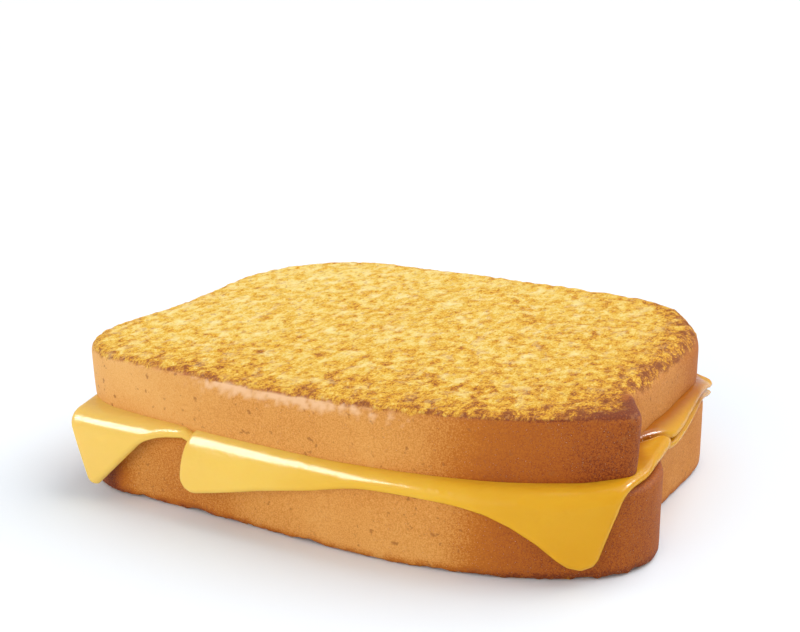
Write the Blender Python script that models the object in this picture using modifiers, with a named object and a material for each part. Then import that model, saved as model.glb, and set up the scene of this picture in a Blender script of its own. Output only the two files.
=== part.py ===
"""Grilled cheese sandwich: two grilled slices of a pan loaf with three slices of melted cheese.

Each slice of bread is a closed block whose rim follows the outline of the loaf: a domed crust in
front (-Y), a notch on each side where the dome met the top of the pan, and the pan's own walls
behind. The cheese is three square sheets, stacked low, middle and high. Their front corners hang
down over the crust. The crumb faces of the bread are pressed to whatever lies between them.
"""
import math
from collections import namedtuple

import bmesh
import bpy
import numpy as np

# Driving dimensions, in metres
UPPER_FACE_HEIGHT = 0.0300      # grilled face of the upper slice, at X = 0
UPPER_FACE_SLOPE = 0.0138       # it rises a little towards +X
CRUMB_LEVEL = 0.0173            # lower slice's crumb face where no cheese lies on it, at X = 0
CRUMB_SLOPE = 0.009             # it rises a little towards +X
PRESS_SHARE = 0.90              # how much of each sheet's thickness is pressed into the lower slice
SHEET_THICKNESS = 0.0017        # one slice of cheese
TOUCH_GAP = 0.0005             # between pieces that lie on each other
HANG_GAP = 0.0010               # between the crust and what hangs in front of it
FOLD_INSET = 0.0014             # how far behind the crust a sheet starts to bend
PRESS_WIDTH = 0.018             # how far the bread takes to close over a sheet's edge
PRESS_MARGIN = 0.001            # how far past its edge a sheet still holds the bread fully up
CRUMB_RIM = 0.0012              # rounding of the upper slice's rim on its crumb side
FOLD_RIM = 0.0024               # rounding of the lower slice's rim, where the cheese bends over
GRILLED_RIM = 0.0010            # rounding of the rim on its grilled side
CORNER_FOLD = -0.0362           # Y where the lower sheet's hanging corner starts to bend
CORNER_HANG = -0.0396           # Y of the plane in which that corner hangs
CORNER_SPAN = (-0.070, -0.020)  # X range of the left shoulder, which that corner crosses

# Mesh divisions
BREAD_GRID = (22, 20)
SHEET_GRID = (18, 20)
RIM_STEPS = 2
RUN_POINTS = 60
CORNER_POINTS = 16
TURN_WEIGHT = 0.012             # metres of outline that one radian of turning counts for
HANG_ZONE = -0.031              # in front of this Y the rows of a sheet lie closer together
HANG_WEIGHT = 3.0
LOOP_SKIP = 4                   # every fourth point of an outline is enough to measure from
SHARP_ANGLE = math.radians(50)

COLLECTION = "grilled_cheese_sandwich"

# A corner of an outline, walked anticlockwise as seen from above. The run that follows it bows
# outwards by crown, with its highest point moved along the run by lean. Four corners of each
# outline are the ends of its sides.
Corner = namedtuple("Corner", "x y radius ends_side crown lean", defaults=(0.0, 0.0))

LOWER_SLICE = [
    Corner(-0.0569, -0.0390, 0.018, True, 0.0094, 1.3),     # left shoulder, then the dome
    Corner(0.0668, -0.0191, 0.017, True),                   # right shoulder
    Corner(0.0571, 0.0025, 0.002, False),                   # right notch
    Corner(0.0610, 0.0510, 0.028, True, 0.0049),            # right pan corner, then the base
    Corner(-0.0574, 0.0583, 0.030, True),                   # left pan corner
    Corner(-0.0574, -0.0018, 0.002, False, 0.0021),         # left notch
]
UPPER_SLICE = [
    Corner(-0.0602, -0.0331, 0.018, True, 0.0105, 0.6),
    Corner(0.0631, -0.0218, 0.008, True),
    Corner(0.0562, -0.0105, 0.002, False),
    Corner(0.0585, 0.0496, 0.028, True, 0.0041),
    Corner(-0.0590, 0.0597, 0.030, True),
    Corner(-0.0576, -0.0008, 0.002, False, 0.0017),
]

# The sheets of cheese as they would lie flat. What reaches past the front of the bread hangs.
LOWER_SHEET = [
    Corner(-0.0476, -0.0528, 0.0025, True),                 # hanging tip, then the front edge
    Corner(-0.0340, -0.0365, 0.010, False),
    Corner(0.0300, -0.0240, 0.004, True),
    Corner(0.0250, 0.0500, 0.004, True),
    Corner(-0.0582, 0.0380, 0.004, True),
    Corner(-0.0580, -0.0230, 0.020, False),
    Corner(-0.0545, -0.0370, 0.012, False),
]
MIDDLE_SHEET = [
    Corner(-0.0278, -0.0482, 0.004, True),                  # hanging left corner
    Corner(0.0120, -0.0402, 0.030, False),
    Corner(0.0430, -0.0385, 0.030, False),
    Corner(0.0548, -0.0438, 0.004, True),                   # hanging right tip
    Corner(0.0590, -0.0295, 0.015, False),
    Corner(0.0617, -0.0170, 0.020, False),
    Corner(0.0607, 0.0070, 0.040, False),
    Corner(0.0568, 0.0420, 0.0015, True),
    Corner(-0.0290, 0.0410, 0.004, True),
    Corner(-0.0250, -0.0370, 0.015, False),
]
UPPER_SHEET = [
    Corner(-0.0280, -0.0270, 0.004, True),
    Corner(0.0490, -0.0200, 0.006, True),
    Corner(0.0555, -0.0070, 0.010, False),
    Corner(0.0607, 0.0045, 0.005, False),
    Corner(0.0588, 0.0370, 0.0015, True),
    Corner(-0.0300, 0.0560, 0.004, True),
]
SHEETS = [LOWER_SHEET, MIDDLE_SHEET, UPPER_SHEET]

CRUST_COLOUR = (0.60, 0.27, 0.09)
GRILLED_COLOUR = (0.78, 0.47, 0.11)
CHEESE_COLOUR = (0.86, 0.50, 0.06)


def remove_objects():
    for item in list(bpy.data.objects):
        bpy.data.objects.remove(item, do_unlink=True)


def material(name, colour, roughness):
    finish = bpy.data.materials.new(name)
    finish.use_nodes = True
    shader = finish.node_tree.nodes["Principled BSDF"]
    shader.inputs["Base Color"].default_value = (*colour, 1.0)
    shader.inputs["Roughness"].default_value = roughness
    shader.inputs["Metallic"].default_value = 0.0
    return finish


# ---- outlines ----

def arc_lengths(path):
    steps = np.hypot(*np.diff(path, axis=0).T)
    return np.concatenate(([0.0], np.cumsum(steps)))


def crowned_run(start, end):
    """Points from one corner to the next, bowed outwards by the first corner's crown."""
    along = np.linspace(0.0, 1.0, RUN_POINTS)[:, None]
    first = np.array((start.x, start.y))
    step = np.array((end.x, end.y)) - first
    outwards = np.array((step[1], -step[0])) / np.hypot(*step)
    bow = start.crown * 4 * along * (1 - along) * (1 + start.lean * (2 * along - 1))
    return first + step * along + outwards * bow


def trimmed(path, cut_start, cut_end):
    lengths = arc_lengths(path)
    keep = np.linspace(cut_start, lengths[-1] - cut_end, RUN_POINTS)
    return np.column_stack([np.interp(keep, lengths, path[:, axis]) for axis in (0, 1)])


def turn_angle(arriving, leaving):
    cross = arriving[0] * leaving[1] - arriving[1] * leaving[0]
    return abs(math.atan2(cross, arriving @ leaving))


def corner_blend(before, corner, after, turn):
    """A circular arc from before to after, drawn as a rational quadratic curve."""
    along = np.linspace(0.0, 1.0, CORNER_POINTS)[:, None]
    weight = 2 * math.cos(turn / 2) * along * (1 - along)
    mix = (1 - along) ** 2 * before + weight * corner + along ** 2 * after
    return mix / ((1 - along) ** 2 + weight + along ** 2)


def outline_sides(corners):
    """Four paths, front, right, back and left, each from the middle of one corner to the next."""
    count = len(corners)
    runs = [crowned_run(corners[i], corners[(i + 1) % count]) for i in range(count)]
    turns = []
    tangents = []
    for i, corner in enumerate(corners):
        arriving = runs[i - 1][-1] - runs[i - 1][-2]
        leaving = runs[i][1] - runs[i][0]
        turns.append(turn_angle(arriving, leaving))
        tangents.append(corner.radius * math.tan(turns[i] / 2))
    runs = [trimmed(runs[i], tangents[i], tangents[(i + 1) % count]) for i in range(count)]

    sides = []
    for i, corner in enumerate(corners):
        point = np.array((corner.x, corner.y))
        blend = corner_blend(runs[i - 1][-1], point, runs[i][0], turns[i])
        middle = CORNER_POINTS // 2
        if corner.ends_side:
            if sides:
                sides[-1].append(blend[:middle + 1])
            else:
                closing_piece = blend[:middle + 1]
            sides.append([blend[middle:]])
        else:
            sides[-1].append(blend)
        sides[-1].append(runs[i])
    sides[-1].append(closing_piece)
    return [np.vstack(side) for side in sides]


def spaced(path, divisions, inset, hang_weight=0.0):
    """Points along a path, closer in its bends and where it hangs, moved inwards by the inset."""
    steps = np.diff(path, axis=0)
    path = path[np.concatenate(([True], np.hypot(*steps.T) > 1e-7))]
    tangent = np.gradient(path, axis=0)
    tangent /= np.hypot(*tangent.T)[:, None]
    heading = np.unwrap(np.arctan2(tangent[:, 1], tangent[:, 0]))
    turning = np.concatenate(([0.0], np.cumsum(np.abs(np.diff(heading)))))
    lengths = arc_lengths(path)
    hanging = np.concatenate(([0.0], np.cumsum(np.diff(lengths) * (path[1:, 1] < HANG_ZONE))))
    measure = lengths + TURN_WEIGHT * turning + hang_weight * hanging
    wanted = np.linspace(0.0, measure[-1], divisions + 1)
    inwards = np.column_stack((-tangent[:, 1], tangent[:, 0]))
    moved = path + inwards * inset
    return np.column_stack([np.interp(wanted, measure, moved[:, axis]) for axis in (0, 1)])


def ring(sides, grid, inset, hang_weight=0.0):
    columns, rows = grid
    front, right, back, left = sides
    return [
        spaced(front, columns, inset),
        spaced(right, rows, inset, hang_weight),
        spaced(back, columns, inset),
        spaced(left, rows, inset, hang_weight),
    ]


def filled(boundary):
    """A grid of points that blends the four sides of a boundary into each other."""
    front, right, back, left = boundary
    back = back[::-1]
    left = left[::-1]
    u = np.linspace(0.0, 1.0, len(front))[:, None, None]
    v = np.linspace(0.0, 1.0, len(right))[None, :, None]
    across = (1 - v) * front[:, None] + v * back[:, None]
    along = (1 - u) * left[None] + u * right[None]
    near = (1 - u) * front[0] + u * front[-1]
    far = (1 - u) * back[0] + u * back[-1]
    return across + along - (1 - v) * near - v * far


# ---- how the filling presses the bread apart ----

def smooth_step(value):
    value = np.clip(value, 0.0, 1.0)
    return value * value * (3 - 2 * value)


def distance_outside(points, loop):
    """Distance from each point to a closed loop, negative inside it."""
    start = loop
    step = np.roll(loop, -1, axis=0) - loop
    to_point = points[:, None] - start[None]
    share = (to_point * step).sum(axis=2) / np.maximum((step ** 2).sum(axis=1), 1e-18)
    nearest = to_point - np.clip(share, 0.0, 1.0)[..., None] * step
    distance = np.hypot(nearest[..., 0], nearest[..., 1]).min(axis=1)
    x, y = points[:, 0:1], points[:, 1:2]
    crosses = (start[:, 1] > y) != (start[:, 1] + step[:, 1] > y)
    slope = step[:, 0] / np.where(step[:, 1] == 0, 1e-18, step[:, 1])
    right_of = x < start[:, 0] + (y - start[:, 1]) * slope
    inside = (crosses & right_of).sum(axis=1) % 2 == 1
    return np.where(inside, -distance, distance)


def covering(points, loop):
    """1 where a sheet lies between the slices, fading to 0 a little way outside its edge."""
    return smooth_step(1 - (distance_outside(points, loop) - PRESS_MARGIN) / PRESS_WIDTH)


def sheet_loop(sheet):
    return np.vstack([side[::LOOP_SKIP] for side in outline_sides(sheet)])


SHEET_LOOPS = [sheet_loop(sheet) for sheet in SHEETS]
LAYER = SHEET_THICKNESS + TOUCH_GAP


def lower_crumb(points):
    """Height of the lower slice's crumb face."""
    layers = sum(covering(points, loop) for loop in SHEET_LOOPS)
    return CRUMB_LEVEL + CRUMB_SLOPE * points[:, 0] - PRESS_SHARE * LAYER * layers


def sheet_level(points, index):
    """Height of the middle of a sheet, which lies on the bread and on the sheets below it."""
    below = sum((covering(points, loop) for loop in SHEET_LOOPS[:index]), np.zeros(len(points)))
    return lower_crumb(points) + TOUCH_GAP + LAYER * below + SHEET_THICKNESS / 2


def upper_crumb(points):
    layers = sum(covering(points, loop) for loop in SHEET_LOOPS)
    return lower_crumb(points) + TOUCH_GAP + LAYER * layers


def upper_face(points):
    return UPPER_FACE_HEIGHT + UPPER_FACE_SLOPE * points[:, 0]


def table(points):
    return np.zeros(len(points))


# ---- bread ----

def unit_block(grid, rings):
    """A closed box with a grid on its two faces and rings of faces round its wall."""
    columns, rows = grid
    block = bmesh.new()
    bmesh.ops.create_grid(block, x_segments=columns, y_segments=rows, size=1.0)
    raised = bmesh.ops.extrude_face_region(block, geom=block.faces[:], use_keep_orig=True)
    lifted = [item for item in raised["geom"] if isinstance(item, bmesh.types.BMVert)]
    bmesh.ops.translate(block, verts=lifted, vec=(0.0, 0.0, 1.0))
    posts = [edge for edge in block.edges if abs(edge.verts[0].co.z - edge.verts[1].co.z) > 0.5]
    bmesh.ops.subdivide_edges(block, edges=posts, cuts=rings - 1)
    bmesh.ops.recalc_face_normals(block, faces=block.faces[:])
    return block


def grid_place(vertex, grid):
    columns, rows = grid
    return round((vertex.co.x + 1) / 2 * columns), round((vertex.co.y + 1) / 2 * rows)


def rim_profile(low_radius, high_radius):
    """Insets and heights round the rim, each height as (share of the wall, rise, drop)."""
    angles = np.linspace(0.0, math.pi / 2, RIM_STEPS + 1)
    low = [(low_radius * (1 - math.sin(a)), 0, low_radius * (1 - math.cos(a))) for a in angles]
    high = [(high_radius * (1 - math.sin(a)), 1, -high_radius * (1 - math.cos(a))) for a in angles]
    return low + high[::-1]


def boundary_grid(boundary, grid):
    """The points of a ring, laid in a grid array whose inside is left at zero."""
    front, right, back, left = boundary
    places = np.zeros((grid[0] + 1, grid[1] + 1, 2))
    places[:, 0] = front
    places[-1, :] = right
    places[:, -1] = back[::-1]
    places[0, :] = left[::-1]
    return places


def levels(places, low_face, high_face, share, shift):
    flat = places.reshape(-1, 2)
    height = low_face(flat) if share == 0 else high_face(flat)
    return (height + shift).reshape(places.shape[:2])


def bread_slice(name, corners, faces, rims, finish):
    low_face, high_face = faces
    sides = outline_sides(corners)
    profile = rim_profile(*rims)
    rings = len(profile) - 1
    places = []
    heights = []
    for level, (inset, share, shift) in enumerate(profile):
        boundary = ring(sides, BREAD_GRID, inset)
        is_face = level in (0, rings)
        spots = filled(boundary) if is_face else boundary_grid(boundary, BREAD_GRID)
        places.append(spots)
        heights.append(levels(spots, low_face, high_face, share, shift))

    block = unit_block(BREAD_GRID, rings)
    for vertex in block.verts:
        i, j = grid_place(vertex, BREAD_GRID)
        level = round(vertex.co.z * rings)
        x, y = places[level][i, j]
        vertex.co = (x, y, heights[level][i, j])
    return finished(name, block, finish)


# ---- cheese ----

def line_height(x_values, path):
    """Y of a path that runs along X, at each X."""
    order = np.argsort(path[:, 0])
    return np.interp(x_values, path[order, 0], path[order, 1])


def crust_fold():
    """Where a sheet starts to bend over the crust, and where it hangs in front of it."""
    front = outline_sides(LOWER_SLICE)[0]
    clearance = SHEET_THICKNESS / 2 + HANG_GAP
    return spaced(front, RUN_POINTS, FOLD_INSET), spaced(front, RUN_POINTS, -clearance)


def straight_fold():
    """The fold of the lower sheet's corner, which spans the left shoulder in a straight line."""
    ends = np.column_stack((CORNER_SPAN, (0.0, 0.0)))
    return ends + (0.0, CORNER_FOLD), ends + (0.0, CORNER_HANG)


def draped(flat, index, fold):
    """Lay a flat grid of points on the stack and let what passes the fold line hang down."""
    bend_start = line_height(flat[:, 0], fold[0])
    reach = bend_start - line_height(flat[:, 0], fold[1])
    radius = SHEET_THICKNESS / 2 + HANG_GAP + FOLD_INSET
    bend_length = (reach + radius) / 2 * math.pi / 2
    past = np.maximum(bend_start - flat[:, 1], 0.0)
    bend = np.minimum(past / bend_length, 1.0) * math.pi / 2
    fall = np.maximum(past - bend_length, 0.0)
    y = np.where(past > 0, bend_start - reach * np.sin(bend), flat[:, 1])
    rest = np.column_stack((flat[:, 0], np.maximum(flat[:, 1], bend_start)))
    z = sheet_level(rest, index) - radius * (1 - np.cos(bend)) - fall
    return np.column_stack((flat[:, 0], y, z))


def cheese_sheet(name, index, fold, finish):
    sides = outline_sides(SHEETS[index])
    flat = filled(ring(sides, SHEET_GRID, 0.0, HANG_WEIGHT))
    shape = flat.shape[:2]
    places = draped(flat.reshape(-1, 2), index, fold).reshape(*shape, 3)
    sheet = bmesh.new()
    columns, rows = SHEET_GRID
    bmesh.ops.create_grid(sheet, x_segments=columns, y_segments=rows, size=1.0)
    for vertex in sheet.verts:
        vertex.co = places[grid_place(vertex, SHEET_GRID)]
    item = finished(name, sheet, finish)
    solid = item.modifiers.new("Thickness", "SOLIDIFY")
    solid.thickness = SHEET_THICKNESS
    solid.offset = 0.0
    solid.use_even_offset = True
    return item


# ---- assembly ----

def finished(name, shape, finish):
    mesh = bpy.data.meshes.new(name)
    shape.to_mesh(mesh)
    shape.free()
    mesh.shade_smooth()
    mesh.set_sharp_from_angle(angle=SHARP_ANGLE)
    mesh.materials.append(finish)
    item = bpy.data.objects.new(name, mesh)
    bpy.data.collections[COLLECTION].objects.link(item)
    return item


def stand_on_origin(items):
    """Move the pieces so that the middle of their footprint is the origin."""
    bpy.context.view_layer.update()
    graph = bpy.context.evaluated_depsgraph_get()
    points = []
    for item in items:
        mesh = item.evaluated_get(graph).to_mesh()
        points += [tuple(vertex.co) for vertex in mesh.vertices]
        item.evaluated_get(graph).to_mesh_clear()
    low = np.min(points, axis=0)
    high = np.max(points, axis=0)
    for item in items:
        item.location = (-(low[0] + high[0]) / 2, -(low[1] + high[1]) / 2, -low[2])


def build():
    remove_objects()
    sandwich = bpy.data.collections.new(COLLECTION)
    bpy.context.scene.collection.children.link(sandwich)
    lower_bread = material("lower_bread", CRUST_COLOUR, 0.75)
    upper_bread = material("upper_bread", GRILLED_COLOUR, 0.7)
    cheeses = [material(f"cheese_{name}", CHEESE_COLOUR, 0.3) for name in ("a", "b", "c")]

    items = [
        bread_slice("bread_lower", LOWER_SLICE, (table, lower_crumb), (GRILLED_RIM, FOLD_RIM),
                    lower_bread),
        cheese_sheet("cheese_lower", 0, straight_fold(), cheeses[0]),
        cheese_sheet("cheese_middle", 1, crust_fold(), cheeses[1]),
        cheese_sheet("cheese_upper", 2, crust_fold(), cheeses[2]),
        bread_slice("bread_upper", UPPER_SLICE, (upper_crumb, upper_face), (CRUMB_RIM, GRILLED_RIM),
                    upper_bread),
    ]
    stand_on_origin(items)


build()
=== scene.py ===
# %% [markdown]
# # A grilled cheese sandwich
#
# Two grilled slices of a pan loaf lie on each other with three square sheets of cheese between
# them. The bread has been buttered and fried, so its faces are golden and brown and its crust is
# matt and tanned. The cheese has melted just enough to hang down over the crust in soft, glossy
# folds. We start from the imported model, which says where each piece lies, and replace each of its
# plain solids with a finer piece.

# %% Load the packed sandwich
import math
from collections import namedtuple

import bmesh
import bpy
import numpy as np
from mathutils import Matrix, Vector, noise


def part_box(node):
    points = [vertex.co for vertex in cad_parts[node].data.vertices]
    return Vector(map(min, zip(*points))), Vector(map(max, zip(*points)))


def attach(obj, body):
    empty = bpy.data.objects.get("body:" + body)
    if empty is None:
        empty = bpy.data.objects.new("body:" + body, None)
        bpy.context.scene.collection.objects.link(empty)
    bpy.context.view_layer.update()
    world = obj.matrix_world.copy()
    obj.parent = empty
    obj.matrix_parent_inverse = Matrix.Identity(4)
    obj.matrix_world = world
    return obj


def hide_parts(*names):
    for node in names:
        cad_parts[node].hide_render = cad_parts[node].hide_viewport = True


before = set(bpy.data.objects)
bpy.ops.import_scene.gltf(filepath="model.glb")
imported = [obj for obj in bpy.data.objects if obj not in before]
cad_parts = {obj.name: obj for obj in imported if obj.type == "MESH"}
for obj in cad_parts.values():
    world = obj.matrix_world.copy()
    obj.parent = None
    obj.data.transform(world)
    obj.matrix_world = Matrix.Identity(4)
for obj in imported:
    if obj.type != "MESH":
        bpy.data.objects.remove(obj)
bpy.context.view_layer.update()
for name in sorted(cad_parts):
    low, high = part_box(name)
    print(f"{name:14s}", "size in mm", [round(1000 * side, 1) for side in high - low])

# %% [markdown]
# ## The camera
#
# The camera comes first, because everything after it is judged through it. We say where it looks
# and from which direction, and let the code work out where it stands. A long lens from a short
# distance keeps the near corner of the sandwich only slightly larger than the far one.

# %% Place the camera
VIEW_CENTRE = Vector((-0.0050, 0.0026, 0.0313))
VIEW_DISTANCE = 0.2833
VIEW_SIDE = math.radians(27.13)
VIEW_PITCH = math.radians(16.25)
LENS_MM = 57.94

camera = bpy.data.objects.new("camera", bpy.data.cameras.new("camera"))
bpy.context.scene.collection.objects.link(camera)
camera.data.lens = LENS_MM
camera.data.sensor_width = 36.0
camera.data.clip_start = 0.01
back_off = Vector((math.sin(VIEW_SIDE), -math.cos(VIEW_SIDE), math.tan(VIEW_PITCH)))
camera.location = VIEW_CENTRE + back_off.normalized() * VIEW_DISTANCE
camera.rotation_euler = (math.pi / 2 - VIEW_PITCH, 0.0, VIEW_SIDE)
bpy.context.scene.camera = camera
print("camera stands at", [round(value, 4) for value in camera.location])

# %% [markdown]
# ## Outlines
#
# A slice of bread and a sheet of cheese are both flat things with a rounded outline, so one way of
# drawing outlines serves them all. We list the corners, give each a radius, and let a straight or
# slightly bowed run join one corner to the next. This is how a pattern maker would draw them, and
# it keeps the numbers few: a handful of corners instead of hundreds of points.

# %% Describe a corner of an outline
# A run that leaves a corner bows outwards by crown, most at the place that lean moves it to.
# Four corners of each outline end a side: front, right, back and left.
Corner = namedtuple("Corner", "x y radius ends_side crown lean", defaults=(0.0, 0.0))

LOWER_SLICE = [
    Corner(-0.0569, -0.0390, 0.018, True, 0.0094, 1.3),     # left shoulder, then the dome
    Corner(0.0668, -0.0191, 0.017, True),                   # right shoulder
    Corner(0.0571, 0.0025, 0.002, False),                   # right notch
    Corner(0.0610, 0.0510, 0.028, True, 0.0049),            # right pan corner, then the base
    Corner(-0.0574, 0.0583, 0.030, True),                   # left pan corner
    Corner(-0.0574, -0.0018, 0.002, False, 0.0021),         # left notch
]
UPPER_SLICE = [
    Corner(-0.0602, -0.0331, 0.018, True, 0.0105, 0.6),
    Corner(0.0626, -0.0217, 0.004, True),
    Corner(0.0562, -0.0105, 0.002, False),
    Corner(0.0585, 0.0496, 0.028, True, 0.0041),
    Corner(-0.0590, 0.0597, 0.030, True),
    Corner(-0.0576, -0.0008, 0.002, False, 0.0017),
]
print("each slice has", len(LOWER_SLICE), "corners, two of them notches under the dome")

# %% Turn corners into the four sides of an outline
RUN_POINTS = 90
CORNER_POINTS = 24


def arc_lengths(path):
    steps = np.hypot(*np.diff(path, axis=0).T)
    return np.concatenate(([0.0], np.cumsum(steps)))


def crowned_run(start, end):
    along = np.linspace(0.0, 1.0, RUN_POINTS)[:, None]
    first = np.array((start.x, start.y))
    step = np.array((end.x, end.y)) - first
    outwards = np.array((step[1], -step[0])) / np.hypot(*step)
    bow = start.crown * 4 * along * (1 - along) * (1 + start.lean * (2 * along - 1))
    return first + step * along + outwards * bow


def trimmed(path, cut_start, cut_end):
    lengths = arc_lengths(path)
    keep = np.linspace(cut_start, lengths[-1] - cut_end, RUN_POINTS)
    return np.column_stack([np.interp(keep, lengths, path[:, axis]) for axis in (0, 1)])


def turn_angle(arriving, leaving):
    cross = arriving[0] * leaving[1] - arriving[1] * leaving[0]
    return abs(math.atan2(cross, arriving @ leaving))


def corner_blend(before, corner, after, turn):
    """A circular arc, drawn as a rational quadratic curve."""
    along = np.linspace(0.0, 1.0, CORNER_POINTS)[:, None]
    weight = 2 * math.cos(turn / 2) * along * (1 - along)
    mix = (1 - along) ** 2 * before + weight * corner + along ** 2 * after
    return mix / ((1 - along) ** 2 + weight + along ** 2)


def outline_sides(corners):
    count = len(corners)
    runs = [crowned_run(corners[i], corners[(i + 1) % count]) for i in range(count)]
    turns = [turn_angle(runs[i - 1][-1] - runs[i - 1][-2], runs[i][1] - runs[i][0])
             for i in range(count)]
    cuts = [corner.radius * math.tan(turn / 2) for corner, turn in zip(corners, turns)]
    runs = [trimmed(runs[i], cuts[i], cuts[(i + 1) % count]) for i in range(count)]
    sides = []
    middle = CORNER_POINTS // 2
    for i, corner in enumerate(corners):
        point = np.array((corner.x, corner.y))
        blend = corner_blend(runs[i - 1][-1], point, runs[i][0], turns[i])
        if not corner.ends_side:
            sides[-1].append(blend)
        elif sides:
            sides[-1].append(blend[:middle + 1])
            sides.append([blend[middle:]])
        else:
            closing_piece = blend[:middle + 1]
            sides.append([blend[middle:]])
        sides[-1].append(runs[i])
    sides[-1].append(closing_piece)
    return [np.vstack(side) for side in sides]


for side, path in zip(("front", "right", "back", "left"), outline_sides(LOWER_SLICE)):
    print("lower slice,", side, "side:", round(1000 * arc_lengths(path)[-1], 1), "mm")

# %% [markdown]
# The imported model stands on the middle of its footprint. The outlines were drawn about another
# point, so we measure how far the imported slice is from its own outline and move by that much.

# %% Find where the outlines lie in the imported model
slice_loop = np.vstack(outline_sides(LOWER_SLICE))
low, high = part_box("bread_lower")
PLACE = np.array(((low.x + high.x) / 2, (low.y + high.y) / 2))
PLACE -= (slice_loop.min(axis=0) + slice_loop.max(axis=0)) / 2
print("outlines move by", np.round(1000 * PLACE, 2), "mm")

# %% [markdown]
# ## Cheese outlines and the pressed filling
#
# Each sheet of cheese was square when it went in. We draw it flat: what reaches past the front of
# the bread will hang down. The bread gives way where cheese lies between the slices, so the height
# of every layer follows from how many sheets cover a place.

# %% Draw the sheets as they would lie flat
LOWER_SHEET = [
    Corner(-0.0484, -0.0528, 0.0012, True),                 # hanging tip, then the front edge
    Corner(-0.0345, -0.0394, 0.010, False),
    Corner(0.0300, -0.0240, 0.004, True),
    Corner(0.0250, 0.0500, 0.004, True),
    Corner(-0.0580, 0.0380, 0.004, True),
    Corner(-0.0567, -0.0230, 0.012, False),
    Corner(-0.0532, -0.0376, 0.004, False),
]
MIDDLE_SHEET = [
    Corner(-0.0258, -0.0486, 0.0025, True),                 # hanging left corner
    Corner(-0.0070, -0.0450, 0.012, False),
    Corner(0.0040, -0.0434, 0.030, False),
    Corner(0.0140, -0.0409, 0.030, False),
    Corner(0.0430, -0.0387, 0.030, False),
    Corner(0.0553, -0.0455, 0.004, True),                   # hanging right tip
    Corner(0.0592, -0.0300, 0.015, False),
    Corner(0.0617, -0.0170, 0.020, False),
    Corner(0.0612, 0.0055, 0.020, False),
    Corner(0.0581, 0.0420, 0.0010, True),
    Corner(-0.0290, 0.0410, 0.004, True),
    Corner(-0.0238, -0.0370, 0.015, False),
]
UPPER_SHEET = [
    Corner(-0.0280, -0.0270, 0.004, True),
    Corner(0.0490, -0.0200, 0.006, True),
    Corner(0.0555, -0.0070, 0.010, False),
    Corner(0.0607, 0.0045, 0.005, False),
    Corner(0.0582, 0.0424, 0.0010, True),
    Corner(-0.0300, 0.0560, 0.004, True),
]
SHEETS = [LOWER_SHEET, MIDDLE_SHEET, UPPER_SHEET]
for sheet in SHEETS:
    spread = np.ptp(np.vstack(outline_sides(sheet)), axis=0)
    print("sheet of", np.round(1000 * spread), "mm")

# %% Work out how high each layer lies
CRUMB_LEVEL = 0.0173            # lower slice's crumb face where no cheese lies on it
CRUMB_SLOPE = 0.009
PRESS_SHARE = 0.90
PRESS_WIDTH = 0.018
PRESS_MARGIN = 0.001
LAYER = 0.0022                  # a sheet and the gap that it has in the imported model
GAP = 0.0005
MELTED_THICKNESS = 0.00225      # melted cheese fills its layer
OVERLAP = 0.0006                # how far two sheets sink into each other where they have fused
UPPER_FACE_HEIGHT = 0.0300
UPPER_FACE_SLOPE = 0.0138


def smooth_step(value, start=0.0, end=1.0):
    value = np.clip((value - start) / (end - start), 0.0, 1.0)
    return value * value * (3 - 2 * value)


def distance_outside(points, loop):
    """Distance from each point to a closed loop, negative inside it."""
    step = np.roll(loop, -1, axis=0) - loop
    distances = []
    for part in np.array_split(points, max(1, len(points) // 4000)):
        to_point = part[:, None] - loop[None]
        share = (to_point * step).sum(axis=2) / np.maximum((step ** 2).sum(axis=1), 1e-18)
        nearest = to_point - np.clip(share, 0.0, 1.0)[..., None] * step
        distance = np.hypot(nearest[..., 0], nearest[..., 1]).min(axis=1)
        y = part[:, 1:2]
        crosses = (loop[:, 1] > y) != (loop[:, 1] + step[:, 1] > y)
        slope = step[:, 0] / np.where(step[:, 1] == 0, 1e-18, step[:, 1])
        right_of = part[:, 0:1] < loop[:, 0] + (y - loop[:, 1]) * slope
        inside = (crosses & right_of).sum(axis=1) % 2 == 1
        distances.append(np.where(inside, -distance, distance))
    return np.concatenate(distances)


def thin_loop(corners):
    return np.vstack([side[::6] for side in outline_sides(corners)])


SHEET_LOOPS = [thin_loop(sheet) for sheet in SHEETS]


def covering(points, loop):
    """1 where a sheet lies between the slices, fading to 0 outside its edge."""
    return smooth_step(1 - (distance_outside(points, loop) - PRESS_MARGIN) / PRESS_WIDTH)


def layers_below(points, count):
    return sum((covering(points, loop) for loop in SHEET_LOOPS[:count]), np.zeros(len(points)))


def lower_crumb(points):
    pressed = PRESS_SHARE * LAYER * layers_below(points, 3)
    return CRUMB_LEVEL + CRUMB_SLOPE * points[:, 0] - pressed


def upper_crumb(points):
    return lower_crumb(points) + GAP + LAYER * layers_below(points, 3)


def sheet_level(points, index):
    return lower_crumb(points) + GAP + LAYER * (layers_below(points, index) + 0.5) - GAP / 2


def upper_face(points):
    return UPPER_FACE_HEIGHT + UPPER_FACE_SLOPE * points[:, 0]


def seat_line(points):
    """Height at which the upper slice's wall meets the cheese, in front and on the right."""
    x, y = points[:, 0], points[:, 1]
    right = smooth_step(x, 0.040, 0.050)
    wall = 0.0020 * smooth_step(y, -0.020, -0.004) - 0.0006 * smooth_step(y, 0.000, 0.012)
    return 0.0180 + right * wall + 0.0009 * smooth_step(x, 0.052, 0.061)


def droop(points):
    """How far the right-hand edge of the stack has sunk below that line."""
    right = smooth_step(points[:, 0], 0.040, 0.050) * smooth_step(-points[:, 1], -0.046, -0.038)
    return 0.0013 * right * smooth_step(points[:, 1], -0.016, -0.005)


def fused(points):
    """1 along the right-hand edge, where the two upper sheets have melted into one."""
    return smooth_step(points[:, 0], 0.050, 0.056) * smooth_step(points[:, 1], -0.006, 0.002)


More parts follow.
